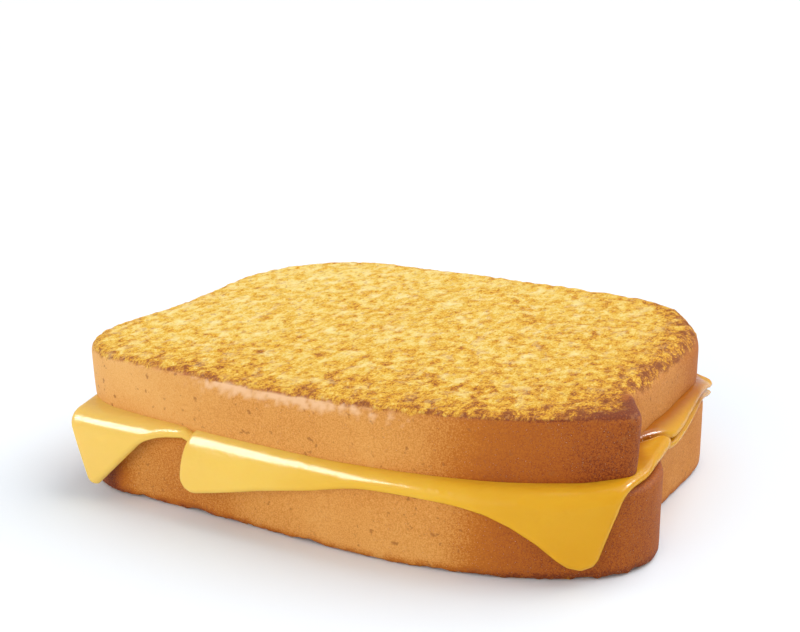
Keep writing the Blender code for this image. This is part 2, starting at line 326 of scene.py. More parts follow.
def near_crust(points, loop):
    """1 along the front and right-hand crust of a slice and outside it, 0 well inside."""
    edge = 1 - smooth_step(-distance_outside(points, loop), 0.0005, 0.0090)
    front = smooth_step(-points[:, 1], 0.012, 0.026)
    right = smooth_step(points[:, 0], 0.040, 0.050) * smooth_step(-points[:, 1], -0.046, -0.038)
    return edge * np.maximum(front, right)


def sheets_at(points, first, last):
    """How many of the sheets first to last - 1 really lie at a place."""
    return sum((smooth_step(-distance_outside(points, loop), -0.0030, 0.0010)
                for loop in SHEET_LOOPS[first:last]), np.zeros(len(points)))


middle = np.zeros((1, 2))
print("at the middle: lower crumb", round(1000 * lower_crumb(middle)[0], 1), "mm,",
      "upper crumb", round(1000 * upper_crumb(middle)[0], 1), "mm")

# %% [markdown]
# ## Grids that fit an outline
#
# Both bread and cheese start as a flat grid from `bmesh.ops.create_grid`. Its border is laid on
# the outline, and its inside is blended from the four sides, as a tailor fits a square of cloth to
# a curved frame. This keeps every face a neat four-sided one, which bends and smooths well.

# %% Lay a grid over an outline
def spaced(path, divisions, ease=0.0):
    """Evenly spaced points along a path and the directions pointing inwards from them."""
    keep = np.concatenate(([True], np.hypot(*np.diff(path, axis=0).T) > 1e-7))
    path = path[keep]
    tangent = np.gradient(path, axis=0)
    tangent /= np.hypot(*tangent.T)[:, None]
    lengths = arc_lengths(path)
    share = np.linspace(0.0, 1.0, divisions + 1)
    share = share - ease * np.sin(2 * math.pi * share) / (2 * math.pi)
    wanted = share * lengths[-1]
    points = np.column_stack([np.interp(wanted, lengths, path[:, axis]) for axis in (0, 1)])
    along = np.column_stack([np.interp(wanted, lengths, tangent[:, axis]) for axis in (0, 1)])
    return points, np.column_stack((-along[:, 1], along[:, 0]))


def border(corners, grid, ease=0.0):
    columns, rows = grid
    sides = outline_sides(corners)
    return [spaced(side, count, ease) for side, count in zip(sides, (columns, rows) * 2)]


def filled(front, right, back, left, ease=0.0):
    back = back[::-1]
    left = left[::-1]
    u = np.linspace(0.0, 1.0, len(front))[:, None, None]
    v = np.linspace(0.0, 1.0, len(right))[None, :, None]
    u = u - ease * np.sin(2 * math.pi * u) / (2 * math.pi)
    v = v - ease * np.sin(2 * math.pi * v) / (2 * math.pi)
    across = (1 - v) * front[:, None] + v * back[:, None]
    along = (1 - u) * left[None] + u * right[None]
    near = (1 - u) * front[0] + u * front[-1]
    far = (1 - u) * back[0] + u * back[-1]
    return across + along - (1 - v) * near - v * far


def grid_place(vertex, grid):
    columns, rows = grid
    return round((vertex.co.x + 1) / 2 * columns), round((vertex.co.y + 1) / 2 * rows)


print("a grid can now be laid over any outline")

# %% [markdown]
# ## The bread, as a smooth block
#
# A slice is a block: the grid is extruded upwards, and loop cuts in its wall give rings of points.
# The rings are moved to the outline, the first and last ones inwards along a quarter circle, so
# the rim is rounded. The crust bulges a little between its rims, because the slice was pressed in
# the pan. A voxel remesh then turns the block into even little faces, which can carry relief all
# over, on the wall as well as on the faces.

# %% Model a slice as a block with rounded rims
BREAD_GRID = (90, 76)
RIM_STEPS = 5
WALL_STEPS = 6


def unit_block(grid, rings):
    columns, rows = grid
    block = bmesh.new()
    bmesh.ops.create_grid(block, x_segments=columns, y_segments=rows, size=1.0)
    raised = bmesh.ops.extrude_face_region(block, geom=block.faces[:], use_keep_orig=True)
    lifted = [item for item in raised["geom"] if isinstance(item, bmesh.types.BMVert)]
    bmesh.ops.translate(block, verts=lifted, vec=(0.0, 0.0, 1.0))
    posts = [edge for edge in block.edges if abs(edge.verts[0].co.z - edge.verts[1].co.z) > 0.5]
    bmesh.ops.subdivide_edges(block, edges=posts, cuts=rings - 1)
    bmesh.ops.recalc_face_normals(block, faces=block.faces[:])
    return block


def rim_profile():
    """For each ring: share of the low rim, share of the high rim, and height up the wall."""
    angles = np.linspace(0.0, math.pi / 2, RIM_STEPS + 1)
    low = [((1 - math.sin(a), 1 - math.cos(a)), (0.0, 0.0), 0.0) for a in angles]
    wall = [((0.0, 1.0), (0.0, 1.0), share) for share in np.linspace(0, 1, WALL_STEPS + 1)[1:-1]]
    high = [((0.0, 0.0), (1 - math.sin(a), 1 - math.cos(a)), 1.0) for a in angles]
    return low + wall + high[::-1]


def ring_height(places, share, faces, rims, drops):
    """Height of a ring of points, between the rims of the low and the high face."""
    bottom = faces[0](places) + rims[0](places) * drops[0]
    top = faces[1](places) - rims[1](places) * drops[1]
    return bottom * (1 - share) + top * share


def bread_block(corners, faces, rims, bulge, lean=0.0):
    """lean draws the foot of the crust in at both ends of the dome."""
    profile = rim_profile()
    rings = len(profile) - 1
    sides = border(corners, BREAD_GRID)
    columns, rows = BREAD_GRID
    places = np.zeros((rings + 1, columns + 1, rows + 1, 3))
    for level, (low_rim, high_rim, share) in enumerate(profile):
        paths = []
        for points, inwards in sides:
            inset = rims[0](points) * low_rim[0] + rims[1](points) * high_rim[0]
            swell = bulge * math.sin(math.pi * level / rings) ** 0.5
            ends = smooth_step(np.abs(points[:, 0]), 0.036, 0.058)
            ends *= smooth_step(-points[:, 1], 0.002, 0.014)
            swell = swell - lean * ends * (1 - level / rings)
            paths.append(points + inwards * (inset - swell)[:, None])
        spots = filled(*paths)
        flat = spots.reshape(-1, 2)
        heights = ring_height(flat, share, faces, rims, (low_rim[1], high_rim[1]))
        places[level, ..., :2] = spots
        places[level, ..., 2] = heights.reshape(columns + 1, rows + 1)
    block = unit_block(BREAD_GRID, rings)
    for vertex in block.verts:
        i, j = grid_place(vertex, BREAD_GRID)
        vertex.co = places[round(vertex.co.z * rings), i, j]
    bmesh.ops.translate(block, verts=block.verts[:], vec=(*PLACE, 0.0))
    return block


# %% [markdown]
# The remesh needs a modifier, and a modifier needs an object. A small helper makes the object,
# adds the modifier and hands back the finished mesh.

# %% Remesh a block into even faces
VOXEL = 0.00062
SMOOTHING_PASSES = 4


def even_mesh(name, block):
    rough = bpy.data.meshes.new(name + "_rough")
    block.to_mesh(rough)
    block.free()
    helper = bpy.data.objects.new(name + "_rough", rough)
    bpy.context.scene.collection.objects.link(helper)
    remesh = helper.modifiers.new("Even faces", "REMESH")
    remesh.mode = "VOXEL"
    remesh.voxel_size = VOXEL
    bpy.context.view_layer.update()
    finished = helper.evaluated_get(bpy.context.evaluated_depsgraph_get())
    mesh = bpy.data.meshes.new_from_object(finished)
    bpy.data.objects.remove(helper)
    shape = bmesh.new()
    shape.from_mesh(mesh)
    bpy.data.meshes.remove(mesh)
    for _ in range(SMOOTHING_PASSES):
        bmesh.ops.smooth_vert(shape, verts=shape.verts[:], factor=0.5,
                              use_axis_x=True, use_axis_y=True, use_axis_z=True)
    return shape


def soft_rim(points):
    """The grilled rim is rounder over the left shoulder and along the right-hand pan wall."""
    left = smooth_step(-points[:, 0], 0.030, 0.056) * smooth_step(-points[:, 1], 0.008, 0.026)
    right = smooth_step(points[:, 0], 0.046, 0.055) * smooth_step(points[:, 1], -0.014, -0.002)
    tip = smooth_step(points[:, 0], 0.046, 0.058) * smooth_step(-points[:, 1], 0.012, 0.018)
    return 0.0010 + 0.0010 * left + 0.0030 * right + 0.0012 * tip


def plain_rim(radius):
    return lambda points: np.full(len(points), radius)


FILL = 0.00025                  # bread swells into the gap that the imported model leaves
BURIED = 0.0011                 # how deep the upper slice's rim sinks into the melted cheese


def underside(points):
    """The upper slice's crumb face, which rests on the cheese, or on the bread behind it."""
    loop = thin_loop(UPPER_SLICE)
    near = near_crust(points, loop)
    behind = 1 - smooth_step(-distance_outside(points, loop), 0.0005, 0.0090) - near
    inner = (upper_crumb(points) - FILL) * (1 - near - behind)
    closed = lower_crumb(points) + FILL + LAYER * sheets_at(points, 0, 3)
    return inner + (seat_line(points) - BURIED) * near + closed * behind


def lower_top(points):
    """The lower slice's crumb face, which rises to the cheese along its crust."""
    near = near_crust(points, thin_loop(LOWER_SLICE))
    inner = lower_crumb(points) + FILL
    layers = np.maximum(sheets_at(points, 0, 3), 1.0)
    cheese = LAYER * layers - OVERLAP * fused(points)
    return inner * (1 - near) + (seat_line(points) - droop(points) - cheese) * near


def table(points):
    return np.zeros(len(points))


lower_block = bread_block(LOWER_SLICE, (table, lower_top),
                          (plain_rim(0.0006), plain_rim(0.0012)), 0.0003)
upper_block = bread_block(UPPER_SLICE, (underside, upper_face),
                          (plain_rim(0.0005), soft_rim), 0.0003, 0.0014)
lower_shape = even_mesh("lower", lower_block)
upper_shape = even_mesh("upper", upper_block)
print("lower slice:", len(lower_shape.faces), "faces; upper slice:", len(upper_shape.faces))

# %% [markdown]
# ## Relief of the bread
#
# Bread is never smooth. The grilled face is an open crumb that was pressed on a hot pan: little
# craters where bubbles were cut, flat raised spots that touched the pan, and a broad, shallow
# waviness. The crust is a skin: nearly smooth, with faint dimples. We move every point along its
# own normal by layered random values, more on the face and less on the crust, and write down how
# strongly each place belongs to the face. The colours use these stored values, with random values
# of their own for the brown spots.

# %% Helpers for random relief
def fractal(points, size, octaves=3, seed=0.0):
    """Soft random values, mostly between -1 and 1, with features of the given size."""
    shift = Vector((seed, 2.3 * seed, 5.1 * seed))
    return np.array([noise.fractal(Vector(p) / size + shift, 1.0, 2.0, octaves) for p in points])


def pits(points, size, seed=0.0):
    """1 at the bottom of small round pits, 0 between them."""
    shift = Vector((seed, 3.7 * seed, 1.9 * seed))
    near = np.array([noise.voronoi(Vector(p) / size + shift)[0][0] for p in points])
    return smooth_step(-near, -0.45, -0.10)


def points_and_normals(shape):
    shape.normal_update()
    points = np.array([vertex.co[:] for vertex in shape.verts])
    normals = np.array([vertex.normal[:] for vertex in shape.verts])
    return points, normals


print("one random value:", round(fractal([(0.01, 0.02, 0.0)], 0.004)[0], 3))

# %% Give a slice its relief and its tones
# tan holds the crust's own tan together with painted shade.
Tones = namedtuple("Tones", "face brown tan worn")


def depth_inside(points, loop):
    """How deep inside the outline each point lies, seen from above."""
    return -distance_outside(points[:, :2] - PLACE, loop)


def slice_tones(points, normals, corners, facing, seed):
    depth = depth_inside(points, thin_loop(corners))
    x, y = points[:, 0] - PLACE[0], points[:, 1] - PLACE[1]
    ragged = 0.20 * fractal(points, 0.0020, 3, seed) + 0.16 * fractal(points, 0.0060, 2, seed + 3)
    reach = 0.32 if facing > 0 else 0.62
    face = smooth_step(normals[:, 2] * facing + ragged, reach, reach + 0.25)
    reach = 0.0056 * smooth_step(x, 0.048, 0.061) * smooth_step(-y, 0.0085, 0.0150) - 0.0014
    tip = 1 - smooth_step(depth - reach + 0.0045 * ragged, -0.0010, 0.0022)
    tip *= (facing > 0) * smooth_step(normals[:, 2], 0.15, 0.60)
    face *= 1 - tip                 # the crust reaches over the right-hand tip of the dome
    rim = smooth_step(-depth, -0.012, 0.0)
    front = smooth_step(-y, 0.000, 0.036)
    right = smooth_step(x, 0.000, 0.056)
    left_back = smooth_step(y - x * 0.4, 0.020, 0.060)
    pan_side = smooth_step(x, 0.038, 0.056) * smooth_step(y, -0.034, -0.014)
    brown = 0.27 + 0.13 * front + 0.11 * right - 0.08 * left_back
    brown -= 0.07 * smooth_step(-x, 0.020, 0.050)
    brown += 0.12 * smooth_step(x, 0.040, 0.056) * smooth_step(-y, 0.008, 0.018)
    brown += rim * (0.07 + 0.08 * front + 0.22 * pan_side)
    brown += (0.16 + 0.06 * front - 0.09 * rim * pan_side) * fractal(points, 0.0018, 4, seed + 11)
    brown += 0.07 * fractal(points, 0.0070, 2, seed + 13)
    brown += (0.09 + 0.08 * pan_side) * smooth_step(-depth, -0.0034, -0.0008)
    if facing < 0:
        brown += 0.40 * rim
    right_fade = smooth_step(corners[2].y - y, 0.0002, 0.0090)
    left_fade = smooth_step(corners[5].y - y, -0.0140, 0.0140)
    dome = np.where(x > 0, right_fade, left_fade)
    darker = 0.32 if facing > 0 else 0.07
    tan = (0.46 + darker * smooth_step(y, 0.010, 0.040)) * (1 - dome)
    # Painted shade, partly the crust's own browning: the crust of the dome darkens from left to right,
    # standing in for the shade on its right-hand part.
    tan += dome * (0.10 + 0.24 * smooth_step(x, -0.050, -0.010))
    begin = 0.018 if facing > 0 else 0.027
    tan += dome * (0.43 * smooth_step(x, begin, 0.043) + 0.12 * smooth_step(x, 0.042, 0.058))
    if facing < 0:
        # Painted shade, partly the crust's own brown: the lower slice's crust darkens towards the left,
        # most at its left shoulder, where the hanging cheese shades it.
        corner = smooth_step(-x, 0.038, 0.050) * smooth_step(-y, 0.016, 0.030)
        tan += dome * (0.28 * smooth_step(-x, 0.004, 0.030) + 0.75 * corner)
        base = 1 - smooth_step(points[:, 2], 0.0002, 0.0022)
        tan += base * (0.30 + 0.30 * fractal(points, 0.0030, 3, seed + 23))
        tan -= 0.05 * dome * smooth_step(x, 0.044, 0.058)
    tan = np.maximum(tan, 0.78 * tip)
    tan += 0.06 * fractal(points, 0.011, 3, seed + 21)
    drop = upper_face(points[:, :2] - PLACE) - points[:, 2]
    patch = smooth_step(drop, 0.0004, 0.0009) * (1 - smooth_step(drop, 0.0012, 0.0036))
    patch *= smooth_step(x, -0.027, -0.017) * smooth_step(-x, -0.024, -0.004) * dome * (1 - face)
    patch += 0.8 * (patch > 0) * fractal(points, 0.0014, 4, seed + 31)
    worn = 0.9 * smooth_step(patch, 0.10, 1.00) * (facing > 0)
    tan += 0.5 * dome * (1 - smooth_step(np.abs(drop - 0.0004), 0.0001, 0.0006)) * (facing > 0)
    return Tones(face, *(np.clip(values, 0.0, 1.0) for values in (brown, tan, worn)))


def add_relief(shape, corners, facing, seed):
    points, normals = points_and_normals(shape)
    tones = slice_tones(points, normals, corners, facing, seed)
    face = tones.face
    broad = fractal(points, 0.020, 2, seed + 41)
    lumps = fractal(points, 0.0024, 4, seed + 11)
    craters = pits(points, 0.0030, seed + 51)
    dimples = fractal(points, 0.0060, 3, seed + 61)
    height = 0.00025 * broad + 0.00006 * dimples * (1 - face)
    height += face * (0.00024 * lumps - 0.00024 * craters)
    height += tones.worn * 0.00012 * fractal(points, 0.0016, 2, seed + 71)
    moved = points + normals * height[:, None]
    if facing < 0:
        base = 1 - smooth_step(points[:, 2], 0.0004, 0.0034)
        moved[:, 2] += base * 0.0007 * np.maximum(fractal(points, 0.0048, 3, seed + 81), 0.0)
    moved[:, 2] = np.maximum(moved[:, 2], 0.0)
    for vertex, place in zip(shape.verts, moved):
        vertex.co = place
    return tones


lower_tones = add_relief(lower_shape, LOWER_SLICE, -1.0, 4.0)
upper_tones = add_relief(upper_shape, UPPER_SLICE, 1.0, 9.0)
print("share of the upper slice that is grilled:", round(upper_tones.face.mean(), 2))

# %% [markdown]
# ## Finishes for the bread
#
# One material serves both slices. Four values were stored on the points: how grilled a place is,
# how brown, how tanned the crust is, with painted shade added to the tan, and where the crust is
# worn pale. Colour ramps turn them into colours, and fine noise in the material breaks them up at a
# scale that the mesh can't hold.

# %% Helpers for building materials
def new_material(name):
    finish = bpy.data.materials.new(name)
    finish.use_nodes = True
    tree = finish.node_tree
    return finish, tree, tree.nodes["Principled BSDF"]


def add_node(tree, kind, inputs=(), **settings):
    node = tree.nodes.new(kind)
    for key, value in settings.items():
        setattr(node, key, value)
    for key, value in dict(inputs).items():
        if isinstance(value, bpy.types.NodeSocket):
            tree.links.new(value, node.inputs[key])
        else:
            node.inputs[key].default_value = value
    return node


def stored(tree, name):
    return add_node(tree, "ShaderNodeAttribute", attribute_name=name).outputs["Fac"]


def grain(tree, place, scale, detail=3.0, roughness=0.6, stretch=(1.0, 1.0, 1.0)):
    mapping = add_node(tree, "ShaderNodeMapping", {"Vector": place, "Scale": stretch})
    texture = add_node(tree, "ShaderNodeTexNoise", {
        "Vector": mapping.outputs[0], "Scale": scale, "Detail": detail, "Roughness": roughness})
    return texture.outputs["Fac"]


def calculate(tree, operation, first, second=0.0, third=0.0, clamp=False):
    node = add_node(tree, "ShaderNodeMath", {0: first, 1: second, 2: third},
                    operation=operation, use_clamp=clamp)
    return node.outputs[0]


def ramp(tree, value, stops):
    node = add_node(tree, "ShaderNodeValToRGB", {"Fac": value})
    elements = node.color_ramp.elements
    while len(elements) < len(stops):
        elements.new(1.0)
    for element, (position, colour) in zip(elements, stops):
        element.position = position
        element.color = (*colour, 1.0)
    return node.outputs["Color"]


def blend_colours(tree, factor, first, second, how="MIX"):
    node = add_node(tree, "ShaderNodeMix", data_type="RGBA", blend_type=how)
    for socket, value in zip((node.inputs[0], node.inputs[6], node.inputs[7]),
                             (factor, first, second)):
        if isinstance(value, bpy.types.NodeSocket):
            tree.links.new(value, socket)
        else:
            socket.default_value = value
    return node.outputs[2]


print("material helpers ready")

# %% Grilled bread
GRILLED_STOPS = [
    (0.00, (0.91, 0.70, 0.24)),
    (0.25, (0.86, 0.56, 0.080)),
    (0.45, (0.80, 0.435, 0.035)),
    (0.62, (0.69, 0.305, 0.018)),
    (0.80, (0.50, 0.165, 0.012)),
    (1.00, (0.27, 0.070, 0.008)),
]
CRUST_STOPS = [
    (0.00, (0.81, 0.44, 0.14)),
    (0.30, (0.71, 0.325, 0.075)),
    (0.60, (0.48, 0.145, 0.014)),
    (0.85, (0.36, 0.090, 0.014)),
    (1.00, (0.18, 0.035, 0.010)),
]
CREAM_COLOUR = (0.95, 0.77, 0.34, 1.0)
TOASTED_COLOUR = (0.58, 0.26, 0.06, 1.0)
PORE_COLOUR = (0.34, 0.11, 0.025, 1.0)
WORN_COLOUR = (0.85, 0.52, 0.28, 1.0)


def bread_material():
    finish, tree, shader = new_material("grilled_bread")
    place = add_node(tree, "ShaderNodeTexCoord").outputs["Object"]
    crumb = (1.3, 0.8, 1.0)
    patchy = grain(tree, place, 450.0, 2.0, 0.5, crumb)
    fine = grain(tree, place, 1700.0, 4.0, 0.75, crumb)
    speck = grain(tree, place, 3200.0, 3.0, 0.7)
    face, brown, tan = (stored(tree, name) for name in ("face", "brown", "tan"))
    browner = calculate(tree, "MULTIPLY_ADD", patchy, 1.60, calculate(tree, "SUBTRACT", brown, 0.77))
    crispness = calculate(tree, "MULTIPLY_ADD", brown, 0.9, 1.6)
    browner = calculate(tree, "MULTIPLY_ADD", calculate(tree, "SUBTRACT", fine, 0.5), crispness, browner)
    browner = calculate(tree, "MULTIPLY_ADD", calculate(tree, "SUBTRACT", speck, 0.5), 0.9, browner)
    grilled = ramp(tree, browner, GRILLED_STOPS)
    spots = grain(tree, place, 200.0, 5.0, 0.62, crumb)
    spots = calculate(tree, "MULTIPLY_ADD", spots, 8.0, -4.3, clamp=True)
    paler = calculate(tree, "MULTIPLY_ADD", brown, -2.2, 1.5, clamp=True)
    spots = calculate(tree, "MULTIPLY", spots, paler)
    grilled = blend_colours(tree, spots, grilled, CREAM_COLOUR)
    crumbs = grain(tree, place, 800.0, 2.0, 0.6, crumb)
    crumbs = calculate(tree, "MULTIPLY_ADD", crumbs, 14.0, -8.3, clamp=True)
    grilled = blend_colours(tree, calculate(tree, "MULTIPLY", crumbs, 0.65), grilled, TOASTED_COLOUR)
    # The tan value also carries painted shade, so the crust ramp darkens there too.
    crust_tan_and_shade = calculate(tree, "MULTIPLY_ADD", speck, 0.90, calculate(tree, "SUBTRACT", tan, 0.60))
    crust_tan_and_shade = calculate(tree, "MULTIPLY_ADD", fine, 0.30, crust_tan_and_shade)
    crust = ramp(tree, crust_tan_and_shade, CRUST_STOPS)
    light_specks = calculate(tree, "MULTIPLY", calculate(tree, "GREATER_THAN", speck, 0.67), 0.55)
    crust = blend_colours(tree, light_specks, crust, (0.90, 0.58, 0.30, 1.0))
    dark_specks = calculate(tree, "MULTIPLY", calculate(tree, "LESS_THAN", speck, 0.33), 0.40)
    crust = blend_colours(tree, dark_specks, crust, (0.22, 0.06, 0.015, 1.0))
    pores = calculate(tree, "MULTIPLY_ADD", grain(tree, place, 620.0, 2.0, 0.6), 12.0, -7.7, clamp=True)
    crust = blend_colours(tree, calculate(tree, "MULTIPLY", pores, 0.7), crust, PORE_COLOUR)
    crust = blend_colours(tree, stored(tree, "worn"), crust, WORN_COLOUR)
    colour = blend_colours(tree, face, crust, grilled)
    tree.links.new(colour, shader.inputs["Base Color"])
    shader.inputs["Roughness"].default_value = 0.60
    shader.inputs["Specular IOR Level"].default_value = 0.09
    strength = calculate(tree, "MULTIPLY_ADD", face, 0.5, 0.25)
    bump = add_node(tree, "ShaderNodeBump", {
        "Height": calculate(tree, "ADD", fine, calculate(tree, "MULTIPLY", speck, 0.4)),
        "Strength": strength, "Distance": 0.0004})
    tree.links.new(bump.outputs[0], shader.inputs["Normal"])
    return finish


bread_finish = bread_material()
print("bread material has", len(bread_finish.node_tree.nodes), "nodes")

# %% Turn a shape into a finished piece
def finished_piece(name, shape, finish, node, values=None):
    mesh = bpy.data.meshes.new(name)
    shape.to_mesh(mesh)
    shape.free()
    mesh.shade_smooth()
    mesh.materials.append(finish)
    for label, numbers in (values or {}).items():
        layer = mesh.attributes.new(label, "FLOAT", "POINT")
        layer.data.foreach_set("value", np.asarray(numbers, dtype=np.float32))
    piece = bpy.data.objects.new(name, mesh)
    bpy.context.scene.collection.objects.link(piece)
    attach(piece, "root")
    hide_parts(node)
    print(name, "has", len(mesh.polygons), "faces")
    return piece


finished_piece("grilled_slice_lower", lower_shape, bread_finish, "bread_lower",
               lower_tones._asdict())
finished_piece("grilled_slice_upper", upper_shape, bread_finish, "bread_upper",
               upper_tones._asdict())

# %% [markdown]
# ## The cheese
#
# A sheet of cheese is drawn flat and then draped. Behind the fold it lies on the stack. From
# there it bends down over the crust and hangs. Every column of the grid is bent on its own, so the
# fold follows the curved crust. The sheet gets its thickness last, from Solidify, which tapers
# towards the edge so that the lip is round, as melted cheese is.

# %% Bend a flat grid over the crust
SHEET_GRID = (110, 120)
EDGE_EASE = 0.88
HANG_GAP = 0.0007
FOLD_INSET = 0.0004
WIDE_BEND = 0.0045               # the hanging left corner of the middle sheet bends more softly
CORNER_FOLD = -0.0362
CORNER_HANG = -0.0396


def line_height(x_values, path):
    order = np.argsort(path[:, 0])
    return np.interp(x_values, path[order, 0], path[order, 1])


def crust_fold():
    """Where a sheet starts to bend over the crust, and where it hangs in front of it."""
    front = outline_sides(LOWER_SLICE)[0]
    clearance = MELTED_THICKNESS / 2 + HANG_GAP
    points, inwards = spaced(front, 80)
    return points + inwards * FOLD_INSET, points - inwards * clearance


def straight_fold():
    ends = np.array(((-0.070, 0.0), (-0.020, 0.0)))
    return ends + (0.0, CORNER_FOLD), ends + (0.0, CORNER_HANG)


def draped(flat, index, fold):
    bend_start = line_height(flat[:, 0], fold[0])
    wide = smooth_step(flat[:, 0], -0.034, -0.030) * smooth_step(-flat[:, 0], -0.006, 0.012)
    reach = bend_start - line_height(flat[:, 0], fold[1]) + WIDE_BEND * wide / 3
    radius = MELTED_THICKNESS / 2 + HANG_GAP + FOLD_INSET + WIDE_BEND * wide
    bend_length = (reach + radius) / 2 * math.pi / 2
    past = np.maximum(bend_start - flat[:, 1], 0.0)
    bend = np.minimum(past / bend_length, 1.0) * math.pi / 2
    fall = np.maximum(past - bend_length, 0.0)
    y = np.where(past > 0, bend_start - reach * np.sin(bend), flat[:, 1])
    rest = np.column_stack((flat[:, 0], np.maximum(flat[:, 1], bend_start)))
    near = near_crust(rest, thin_loop(UPPER_SLICE))
    seat = seat_line(rest) - MELTED_THICKNESS / 2 - LAYER * sheets_at(rest, index + 1, 3)
    outside = smooth_step(distance_outside(rest, thin_loop(UPPER_SLICE)), -0.0005, 0.0040)
    seat = seat - droop(rest) * outside + (index == 1) * OVERLAP * fused(rest)
    level = sheet_level(rest, index) * (1 - near) + seat * near
    z = level - radius * (1 - np.cos(bend)) - fall
    return np.column_stack((flat[:, 0], y, z))


SIDE_GAP = 0.0004                # how far outside the wall a sheet starts to bend down
SIDE_RADIUS = 0.0018


def side_wall():
    """The right-hand wall of the lower slice."""
    return outline_sides(LOWER_SLICE)[1][:, ::-1]


def side_draped(places, amount):
    """Let what lies beyond the right-hand wall bend down over it."""
    fold = line_height(places[:, 1], side_wall()) + SIDE_GAP
    past = np.maximum(places[:, 0] - fold, 0.0)
    angle = np.minimum(past / SIDE_RADIUS, math.pi / 2)
    fall = np.maximum(past - SIDE_RADIUS * math.pi / 2, 0.0)
    across = fold + SIDE_RADIUS * np.sin(angle)
    down = SIDE_RADIUS * (1 - np.cos(angle)) + fall
    share = amount * smooth_step(places[:, 1], -0.018, -0.008)
    share = share + (0.35 - share) * smooth_step(places[:, 1], -0.001, 0.008) * (amount > 0)
    bent = places.copy()
    bent[:, 0] += np.where(past > 0, share * (across - places[:, 0]), 0.0)
    bent[:, 2] -= share * down
    return bent


def sheet_shape(index, fold):
    paths = [points for points, _ in border(SHEETS[index], SHEET_GRID, EDGE_EASE)]
    flat = filled(*paths, EDGE_EASE)
    size = flat.shape[:2]
    places = draped(flat.reshape(-1, 2), index, fold)
    places = side_draped(places, (0.0, 0.9, 0.35)[index])
    tip = smooth_step(places[:, 1], 0.028, 0.042) * smooth_step(places[:, 0], 0.051, 0.058)
    places[:, 2] -= (0.0, 0.0014, 0.0014)[index] * tip
    # Painted shade: along the upper slice's right-hand wall the cheese gets a darker, browner colour that
    # stands in for the shade under the bread.
    near_wall = distance_outside(places[:, :2], thin_loop(UPPER_SLICE))
    painted_shade = smooth_step(near_wall, -0.004, -0.001) * (1 - smooth_step(near_wall, 0.0008, 0.0032))
    painted_shade *= smooth_step(places[:, 0], 0.044, 0.052) * smooth_step(places[:, 1], -0.020, -0.010)
    places[:, :2] += PLACE
    ripple = 0.00022 * fractal(places, 0.016, 2, 3.0 + index)
    places[:, 1] += ripple
    places = places.reshape(*size, 3)
    depth = -distance_outside(flat.reshape(-1, 2), thin_loop(SHEETS[index])).reshape(size)
    painted_shade = painted_shade.reshape(size)
    sheet = bmesh.new()
    bmesh.ops.create_grid(sheet, x_segments=SHEET_GRID[0], y_segments=SHEET_GRID[1], size=1.0)
    stored_values = []
    for vertex in sheet.verts:
        i, j = grid_place(vertex, SHEET_GRID)
        vertex.co = places[i, j]
        stored_values.append((max(depth[i, j], 0.0), painted_shade[i, j]))
    return sheet, *np.array(stored_values).T


shape, depths, painted_shade = sheet_shape(1, crust_fold())
print("middle sheet hangs down to", round(1000 * min(v.co.z for v in shape.verts), 1), "mm")
shape.free()

# %% [markdown]
# Processed cheese is smooth, opaque and a little waxy. Light goes a short way into it, so its
# colour glows and thin edges look brighter. The gloss comes from a thin film of fat.

# %% Melted cheese
def cheese_material():
    finish, tree, shader = new_material("melted_cheese")
    place = add_node(tree, "ShaderNodeTexCoord").outputs["Object"]
    soft = grain(tree, place, 60.0, 2.0, 0.5)
    # Painted light: the cheese's own deep yellow lies in the middle. Towards the left the colour pales, a
    # painted reflection of broad light, and at the right-hand end it deepens, painted shade under the
    # upper slice.
    across = add_node(tree, "ShaderNodeSeparateXYZ", {0: place}).outputs[0]
    depth = calculate(tree, "MULTIPLY_ADD", across, 9.0, calculate(tree, "MULTIPLY_ADD", soft, 0.3, 0.30))
    colour = ramp(tree, depth, [
        (0.00, (0.86, 0.56, 0.125)),
        (0.35, (0.85, 0.555, 0.100)),
        (0.70, (0.77, 0.43, 0.028)),
        (1.00, (0.66, 0.31, 0.009)),
    ])
    # Painted shade: darker, browner cheese along the upper slice's right-hand wall, standing in for the
    # shade there.
    colour = blend_colours(tree, stored(tree, "painted_shade"), colour, (0.41, 0.125, 0.005, 1.0))
    tree.links.new(colour, shader.inputs["Base Color"])
    shader.inputs["Roughness"].default_value = 0.25
    shader.inputs["Specular IOR Level"].default_value = 0.06
    shader.inputs["Subsurface Weight"].default_value = 0.25
    shader.inputs["Subsurface Radius"].default_value = (1.0, 0.6, 0.15)
    shader.inputs["Subsurface Scale"].default_value = 0.002
    shader.inputs["Coat Weight"].default_value = 0.15
    shader.inputs["Coat Roughness"].default_value = 0.15
    wavy = grain(tree, place, 200.0, 3.0, 0.5)
    bump = add_node(tree, "ShaderNodeBump", {
        "Height": wavy, "Strength": 0.60, "Distance": 0.0008})
    tree.links.new(bump.outputs[0], shader.inputs["Normal"])
    return finish


cheese_finish = cheese_material()
print("cheese material has", len(cheese_finish.node_tree.nodes), "nodes")

# %% Make the three sheets
LIP = 0.0007                    # width of the rounded lip
LIP_FULLNESS = 0.55             # thickness left at the very edge


